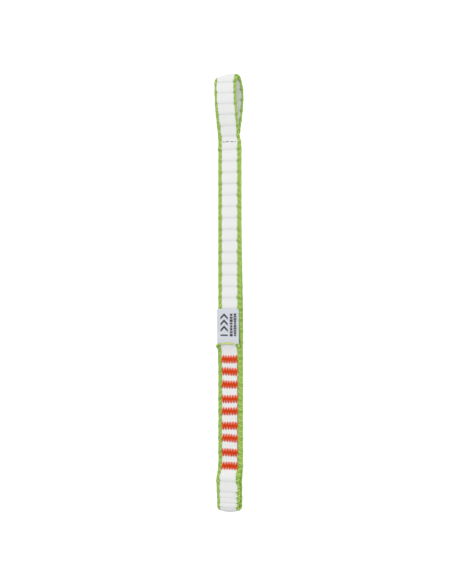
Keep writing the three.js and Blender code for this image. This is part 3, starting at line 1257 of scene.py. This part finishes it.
@dataclass(frozen=True)
class Thread:
    """A twisted thread laid along a path of knots. Its plies show, but their filaments don't."""

    diameter: float
    plies: int = 3
    lay: float = 1.4 * MM  # length of one turn of the plies
    around: int = 10
    step: float = 0.16 * MM

    def along(self, name: str, knots: Array, per_span: int = 6) -> bpy.types.Object:
        """Lays the thread through the knots as a closed piece.

        Args:
            name: The piece's name.
            knots: One row for each knot.
            per_span: How many points to put between two knots.

        Returns:
            The new object.
        """
        line = Centreline(spline(knots, per_span))
        count = max(4, round(line.length / self.step))
        stations = np.linspace(0.0, line.length, count + 1)
        direction = line.direction(stations, 0.5 * self.step)
        side = self.carried(direction)

        def shape(share_around: Array, share_along: Array) -> Surface:
            """Places the thread's surface, with a groove between its plies.

            Args:
                share_around: Each vertex's share of the way around the thread.
                share_along: Its share of the way along it.

            Returns:
                The places, and a tone that paints shade between the plies.
            """
            row = np.rint(share_along * count).astype(int)
            angle = share_around * 2 * math.pi
            twist = angle - 2 * math.pi * stations[row] / self.lay
            ply = np.abs(np.cos(twist * self.plies / 2))
            radius = self.diameter / 2 * (0.84 + 0.22 * ply)
            up = np.cross(direction[row], side[row])
            out = side[row] * np.cos(angle)[:, None] + up * np.sin(angle)[:, None]
            return Surface(line.at(stations[row]) + out * radius[:, None], tone=0.25 + 0.75 * ply)

        return rolled(name, self.around, count, math.pi * self.diameter, line.length, shape)

    def carried(self, direction: Array) -> Array:
        """Carries a side direction along the thread without twisting about it.

        Args:
            direction: The thread's unit direction at each row.

        Returns:
            The side direction at each row.
        """
        sides = np.empty_like(direction)
        side = np.cross(direction[0], (0.31, 0.52, 0.79))
        for row, ahead in enumerate(direction):
            side = side - ahead * np.dot(side, ahead)
            side = side / np.linalg.norm(side)
            sides[row] = side
        return sides


@dataclass
class Stitching:
    """The nine bar tacks, the thread that links them, and the throat's lock stitches."""

    lie: Lie
    width: float = 6.8 * MM
    aside: float = 0.4 * MM  # the tacks follow the tail's core
    teeth: int = 6
    tip: float = 1.45  # the teeth's reach over half the tack's height
    first_share: float = 0.5  # the reach of the first zigzag pass over the second's
    lean: float = 0.24 * MM  # how far the upper tips lie to the right of the lower ones
    face: float = 0.5 * MM  # from a layer's middle to its core's face
    sunk: float = 0.1 * MM  # how far a thread presses into the webbing
    dig: float = 0.3 * MM  # how far it goes in at a needle hole
    throat_spans: tuple[tuple[float, float], ...] = (
        (-2.6, -1.95),
        (-1.2, -0.75),
        (-0.55, -0.15),
        (0.85, 1.8),
        (2.5, 2.75),
    )  # the lock stitches that show, in millimetres across
    thread: Thread = Thread(diameter=0.38 * MM)
    fine: Thread = Thread(diameter=0.24 * MM, lay=0.9 * MM, around=8)
    lock: Thread = Thread(diameter=0.32 * MM, lay=1.1 * MM)

    def __post_init__(self) -> None:
        """Makes the three threads' finishes."""
        # each thread's second colour is painted shade between its plies
        self.orange = SewingThread("orange_thread", crown="#FF5200", hollow_shade="#B02E00").material()
        self.link = SewingThread("link_thread", crown="#B8504E", hollow_shade="#6E2630").material()
        self.dark = SewingThread("dark_thread", crown="#3C3E44", hollow_shade="#131416").material()

    def surface(self, layer: Callable[[Array], Array], z: float, out: float) -> float:
        """Y of a layer's face at a height; out is -1 for its front and 1 for its back."""
        return float(layer(z)) + out * (self.face + self.thread.diameter / 2 - self.sunk)

    def zigzag(
        self, level: float, layer: Callable[[Array], Array], out: float, phase: int
    ) -> list[Array]:
        """The knots of a bar tack's stitches on one face.

        Args:
            level: The tack's height.
            layer: The layer that the face belongs to.
            out: -1 for the front and 1 for the back.
            phase: 0 or 1, which side the first tooth points to.

        Returns:
            The knots, from the needle hole at the left end and back to it.
        """
        half, high = self.width / 2, self.lie.tack_height / 2
        knots: list[Array] = []
        for way, offset in ((1, -0.26), (-1, 0.26)):  # the runs that the zigzags cover
            z = level + offset * MM
            y = self.surface(layer, z, out)
            for x in np.linspace(-way * half, way * half, 5):
                knots.append(np.array([x, y - out * 0.1 * MM, z]))
        strokes = 2 * self.teeth
        tips = []
        for i in range(strokes + 1):
            end = 1 if (i + phase) % 2 == 0 else -1
            wobble = 0.1 * MM * math.sin(12.9 * (i + 1) + 41.0 * level / MM)
            tall = 0.3 * MM if i == 0 and end > 0 else 0.0
            lean = self.lean if end > 0 else 0.0
            x = half - i * self.width / strokes + lean
            tips.append((x + 0.5 * wobble, level + end * (high * self.tip + tall) + wobble))
        low_share = self.first_share
        first_pass = [(x - 0.1 * MM, level + low_share * (z - level)) for x, z in reversed(tips)]
        for passed, lift in ((first_pass, 0.0), (tips, 0.14 * MM)):
            for (x, z), (next_x, next_z) in zip(passed, [*passed[1:], passed[-1]]):
                knots.append(np.array([x, self.surface(layer, z, out) - out * self.dig, z]))
                if (next_x, next_z) != (x, z):
                    for share, raised in ((0.2, 0.08 * MM), (0.5, 0.16 * MM), (0.8, 0.08 * MM)):
                        on_x, on_z = x + (next_x - x) * share, z + (next_z - z) * share
                        face = self.surface(layer, on_z, out)
                        knots.append(np.array([on_x, face + out * (raised + lift), on_z]))
        return knots

    def bar_tack(self, number: int, level: float) -> bpy.types.Object:
        """One bar tack: the front's stitches, down through the layers, and the back's.

        Args:
            number: From 1 at the top.
            level: The tack's height.

        Returns:
            The piece.
        """
        front = self.zigzag(level, self.lie.tail_y, -1.0, number % 2)
        back = self.zigzag(level, self.lie.back_y, 1.0, (number + 1) % 2)
        through = [front[-1] + (back[0] - front[-1]) * share for share in (0.3, 0.7)]
        knots = np.array(front + through + back) + np.array([self.aside, 0.0, 0.0])
        piece = self.thread.along(f"bar_tack_{number}_thread", knots, 4)
        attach(piece, "block")
        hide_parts(f"bar_tack_{number}")
        return self.dress(piece, self.orange)

    def linking_run(self, number: int) -> bpy.types.Object:
        """The short run of thread that links two bar tacks, half sunk beside the right selvedge.

        Args:
            number: That of the upper tack.

        Returns:
            The piece.
        """
        lie = self.lie
        high, low = lie.tacks[number - 1] - 1.0 * MM, lie.tacks[number] + 1.0 * MM
        heights = np.linspace(high, low, 5)
        ends = np.array([0.25, 0.0, -0.04, 0.0, 0.25]) * MM
        y = lie.tail_y(heights) - 0.52 * MM + ends
        waver = 0.05 * MM * np.sin(3.0 * np.arange(5) + number)
        x = self.width / 2 + self.aside - 0.05 * MM + waver
        piece = self.fine.along(f"linking_run_{number}", np.stack([x, y, heights], axis=-1))
        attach(piece, "block")
        return self.dress(piece, self.link)

    def throat_row(
        self, name: str, out: float, layer: Callable[[Array], Array]
    ) -> list[bpy.types.Object]:
        """The short dark lock stitches across the throat, on one face.

        Args:
            name: The start of the pieces' names.
            out: -1 for the front and 1 for the back.
            layer: The layer that the face belongs to.

        Returns:
            The pieces, from the left.
        """
        pieces = []
        for number, (start, stop) in enumerate(self.throat_spans, 1):
            z = self.lie.throat + 0.13 * MM * math.sin(7.0 * number)
            y = float(layer(z)) + out * self.face
            inside = y - out * self.dig
            slant = 0.18 * MM * math.sin(4.0 * number)
            knots = np.array(
                [
                    (start * MM, inside, z - slant),
                    (start * MM, y, z - slant),
                    ((start + stop) / 2 * MM, y + out * 0.06 * MM, z),
                    (stop * MM, y, z + slant),
                    (stop * MM, inside, z + slant),
                ]
            )
            piece = self.lock.along(f"{name}_{number}", knots)
            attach(piece, "upper_eye")
            pieces.append(self.dress(piece, self.dark))
        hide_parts("throat_tack")
        return pieces

    def dress(
        self, piece: bpy.types.Object, finish: bpy.types.Material
    ) -> bpy.types.Object:
        """Gives a piece its finish."""
        piece.data.materials.append(finish)
        return piece

    def build(self) -> list[bpy.types.Object]:
        """Sews every stitch.

        Returns:
            The pieces.
        """
        lie = self.lie
        pieces = [self.bar_tack(i, level) for i, level in enumerate(lie.tacks, 1)]
        pieces += [self.linking_run(i) for i in range(1, len(lie.tacks))]
        pieces += self.throat_row("throat_stitch_front", -1.0, lie.front_y)
        pieces += self.throat_row("throat_stitch_back", 1.0, lie.back_y)
        return pieces


# ---- The label ----------------------------------------------------------------------------------


@dataclass
class Label:
    """The satin label: a ribbon folded in two, both ends trapped under the tail."""

    lie: Lie
    width: float = 9.4 * MM
    shift: float = -0.25 * MM
    ply: float = 0.12 * MM
    flap_gap: float = 0.3 * MM  # between the middles of the two plies
    root_gap: float = 0.13 * MM
    behind_tail: float = 0.675 * MM  # from the tail's middle to the root's front
    slope_room: float = 1.02  # the tail slopes, so the root lies this much further behind it
    before_leg: float = 0.85 * MM  # from the leg's middle to a flap that lies against it
    stand_off: float = 0.2 * MM  # how far the flap's free end stands off the leg
    step: float = 0.12 * MM
    around: int = 168

    def middle_y(self, z: Array) -> Array:
        """Finds Y midway between the two plies.

        Args:
            z: Heights.

        Returns:
            Y at each height.
        """
        lie = self.lie
        hinge = lie.hinges["label_lift"]
        root = lie.tail_y(z) + (self.behind_tail + lie.label_root / 2) * self.slope_room
        free = lie.front - self.before_leg - self.stand_off
        share = (z - lie.label_fold) / (hinge.z - lie.label_fold)
        flap = free + share * (hinge.y - free)
        return flap + ease(hinge.z + 0.6 * MM, hinge.z - 1.2 * MM, z) * (root - flap)

    def line(self) -> Centreline:
        """Up the front ply from under the tail, round the fold and down the back ply.

        Returns:
            The ribbon's centreline.
        """
        lie = self.lie
        low = lie.tacks[0] - lie.root_past_tack
        top = lie.label_fold - self.flap_gap / 2 - self.ply / 2
        heights = np.linspace(low, top, 260)
        hinge = lie.hinges["label_lift"].z
        opened = ease(hinge - 1 * MM, hinge + 2 * MM, heights)
        gap = self.root_gap + opened * (self.flap_gap - self.root_gap)
        middle_y = self.middle_y(heights)
        front = np.stack([middle_y - gap / 2, heights], axis=-1)
        back = np.stack([middle_y + gap / 2, heights], axis=-1)[::-1]
        turn = np.linspace(0.0, math.pi, 16)[1:-1]
        radius = self.flap_gap / 2
        fold_y, fold_z = middle_y[-1] - radius * np.cos(turn), top + radius * np.sin(turn)
        fold = np.stack([fold_y, fold_z], axis=-1)
        return Centreline(np.vstack([front, fold, back]))

    def print_mask(self, x: Array, z: Array) -> Array:
        """Where the front ply is printed: three peaks over a bar, and two columns of plain blocks.

        Args:
            x: Across the label from its middle.
            z: Height over the middle of the part that shows.

        Returns:
            1 on the ink and 0 off it.
        """
        sharp = 0.06 * MM
        z = z - 0.65 * MM

        def inside(distance: Array, limit: Array | float) -> Array:
            """1 where a distance is below its limit, with a soft edge."""
            return 1.0 - ease(-sharp, sharp, distance - limit)

        across = np.abs(x + 1.55 * MM)
        mask = inside(np.abs(z + 4.0 * MM), 0.3 * MM) * inside(across, 1.6 * MM)
        for peak in (4.1 * MM, 1.7 * MM, -0.7 * MM):
            stroke = inside(np.abs(z - peak + across), 0.5 * MM) * inside(across, 1.6 * MM)
            mask = np.maximum(mask, stroke)
        for column, pitch, seed in ((1.55 * MM, 1.13 * MM, 2.0), (3.2 * MM, 0.91 * MM, 5.0)):
            place = (z + 4.5 * MM) / pitch
            number = np.floor(place)
            tall = pitch * (0.39 + 0.07 * np.sin(2.4 * number + seed))
            wide = 0.58 * MM + 0.08 * MM * np.sin(5.0 * number + seed)
            block = inside(np.abs(place - number - 0.5) * pitch, tall)
            block = block * inside(np.abs(x - column), wide)
            mask = np.maximum(mask, block * inside(np.abs(z), 4.5 * MM))
        return mask

    def build(self) -> bpy.types.Object:
        """Folds the label and sews it in.

        Returns:
            The piece.
        """
        line = self.line()
        section = Stadium(self.width, self.ply)
        lie = self.lie
        hinge = lie.hinges["label_lift"]
        centre = (lie.label_fold + lie.tail_end) / 2

        def shape(share_around: Array, share_along: Array) -> Surface:
            """Places the ribbon's surface, a little bowed across, with its print.

            Args:
                share_around: Each vertex's share of the way around the ribbon's section.
                share_along: Its share of the way along the ribbon.

            Returns:
                The places, a tone that darkens at the hems, and the print.
            """
            x, height, _, out_y, _ = section.around(share_around)
            along = share_along * line.length
            points, direction = line.at(along), line.direction(along)
            front_ply = along < line.length / 2
            lift = ease(hinge.z, lie.label_fold, points[:, 1])
            bow = 0.10 * MM * smooth_noise(x / (14 * MM), 4) * lift
            y = points[:, 0] - direction[:, 1] * height + bow
            z = points[:, 1] + direction[:, 0] * height
            z = z - 0.12 * MM * (x / (4.7 * MM)) ** 2 * lift
            printed = self.print_mask(x, z - centre) * front_ply * (out_y > 0.5)
            hem = bump(self.width / 2, 0.5 * MM, np.abs(x))
            tone = 0.75 + 0.2 * smooth_noise(z / (11 * MM), 8) - 0.3 * hem
            place = np.stack([x + self.shift, y, z], axis=-1)
            return Surface(place, tone=np.clip(tone, 0, 1), extra=printed)

        rows = round(line.length / self.step)
        piece = rolled("satin_label", self.around, rows, section.girth, line.length, shape)
        piece.data.materials.append(SatinRibbon().material())
        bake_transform(piece)
        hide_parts("label_flap", "label_root")
        return piece


# ---- The studio ---------------------------------------------------------------------------------


@dataclass(frozen=True)
class Studio:
    """A pale paper sweep, soft lights and the camera."""

    azimuth: float = math.radians(27)
    distance: float = 0.6
    field: float = 0.1759  # width of what is seen at the sling
    aim_aside: float = -0.7 * MM  # what the camera looks at, to the right of the sling's middle
    aim_height: float = -82.4 * MM
    floor_radius: float = 1.6
    curve_radius: float = 0.7  # of the curve from the floor up into the backdrop
    curve_steps: int = 12
    wall: float = 4.0
    air: float = 0.56  # strength of the even light from all round
    floor_drop: float = 1.2  # floor below the sling's lowest point, clear of a camera under it

    def sweep(self, low: float) -> bpy.types.Object:
        """The floor, which curves up into a backdrop all round.

        Args:
            low: The floor's height.

        Returns:
            The new object.
        """
        floor = bmesh.new()
        bmesh.ops.create_circle(
            floor, cap_ends=True, cap_tris=False, segments=96, radius=self.floor_radius
        )
        rim = [edge for edge in floor.edges if edge.is_boundary]
        for step in range(1, self.curve_steps + 1):
            turn = step / self.curve_steps * math.pi / 2
            reach = self.floor_radius + self.curve_radius * math.sin(turn)
            rise = self.curve_radius * (1 - math.cos(turn))
            grown = bmesh.ops.extrude_edge_only(floor, edges=rim)["geom"]
            ring = [v for v in grown if isinstance(v, bmesh.types.BMVert)]
            for vertex in ring:
                flat = Vector((vertex.co.x, vertex.co.y, 0.0)).normalized() * reach
                vertex.co = Vector((flat.x, flat.y, rise))
            rim = [e for e in grown if isinstance(e, bmesh.types.BMEdge)]
        grown = bmesh.ops.extrude_edge_only(floor, edges=rim)["geom"]
        top = [v for v in grown if isinstance(v, bmesh.types.BMVert)]
        bmesh.ops.translate(floor, verts=top, vec=(0.0, 0.0, self.wall))
        bmesh.ops.translate(floor, verts=floor.verts, vec=(0.0, 0.0, low))
        bmesh.ops.recalc_face_normals(floor, faces=floor.faces)
        for face in floor.faces:
            face.smooth = True
        mesh = bpy.data.meshes.new("studio_floor")
        floor.to_mesh(mesh)
        floor.free()
        mesh.materials.append(StudioPaper().material())
        piece = bpy.data.objects.new("studio_floor", mesh)
        piece.visible_diffuse = False  # such bright paper would light the sling too much
        bpy.context.scene.collection.objects.link(piece)
        return piece

    def light(self, name: str, place: Vector, size: float, power: float, target: Vector) -> None:
        """Hangs a soft square light that faces a target.

        Args:
            name: The light's name.
            place: Where it hangs.
            size: The length of its side.
            power: In watts.
            target: What it faces.
        """
        lamp = bpy.data.lights.new(name, "AREA")
        lamp.shape = "SQUARE"
        lamp.size = size
        lamp.energy = power
        holder = bpy.data.objects.new(name, lamp)
        holder.location = place
        holder.rotation_euler = (target - place).to_track_quat("-Z", "Y").to_euler()
        bpy.context.scene.collection.objects.link(holder)

    def camera(self, target: Vector) -> None:
        """Sets the camera, level and turned to the right of the front.

        Args:
            target: What it looks at.
        """
        lens = bpy.data.cameras.new("camera")
        lens.sensor_fit = "HORIZONTAL"
        lens.sensor_width = 36.0
        lens.lens = 36.0 * self.distance / self.field
        lens.clip_start = 0.01
        holder = bpy.data.objects.new("camera", lens)
        away = Vector((math.sin(self.azimuth), -math.cos(self.azimuth), 0.0))
        holder.location = target + away * self.distance
        holder.rotation_euler = (-away).to_track_quat("-Z", "Y").to_euler()
        bpy.context.scene.collection.objects.link(holder)
        bpy.context.scene.camera = holder

    def build(self) -> None:
        """Sets the camera, the paper and three lights: front left and high, right, and behind."""
        side = Vector((math.cos(self.azimuth), math.sin(self.azimuth), 0.0))
        self.camera(side * self.aim_aside + Vector((0.0, 0.0, self.aim_height)))
        low, high = cad_box
        aim = Vector((0.0, 0.0, (low[2] + high[2]) / 2))
        self.light("key_light", aim + Vector((-0.45, -0.75, 0.55)), 0.45, 3.9, aim)
        self.light("fill_light", aim + Vector((0.8, -0.35, 0.1)), 0.6, 3.2, aim)
        self.light("back_light", aim + Vector((0.3, 0.8, 0.5)), 0.6, 3.2, aim)
        self.sweep(low[2] - self.floor_drop)
        world = bpy.data.worlds.new("studio_air")
        bpy.context.scene.world = world
        world.use_nodes = True
        background = world.node_tree.nodes["Background"]
        background.inputs["Color"].default_value = (1.0, 1.0, 1.0, 1.0)
        background.inputs["Strength"].default_value = self.air
        bpy.context.scene.view_settings.view_transform = "Standard"


def main() -> None:
    """Builds the studio and every sub-assembly."""
    logging.basicConfig(level=logging.INFO, format="%(name)s: %(message)s")
    lie = Lie.from_frame()
    Studio().build()
    pieces = [*Webbing(lie).build(), *Stitching(lie).build(), Label(lie).build()]
    for piece in pieces:
        log.info("%s has %d faces", piece.name, len(piece.data.polygons))
    log.info("%d pieces, %d faces", len(pieces), sum(len(piece.data.polygons) for piece in pieces))


if __name__ == "__main__":
    main()
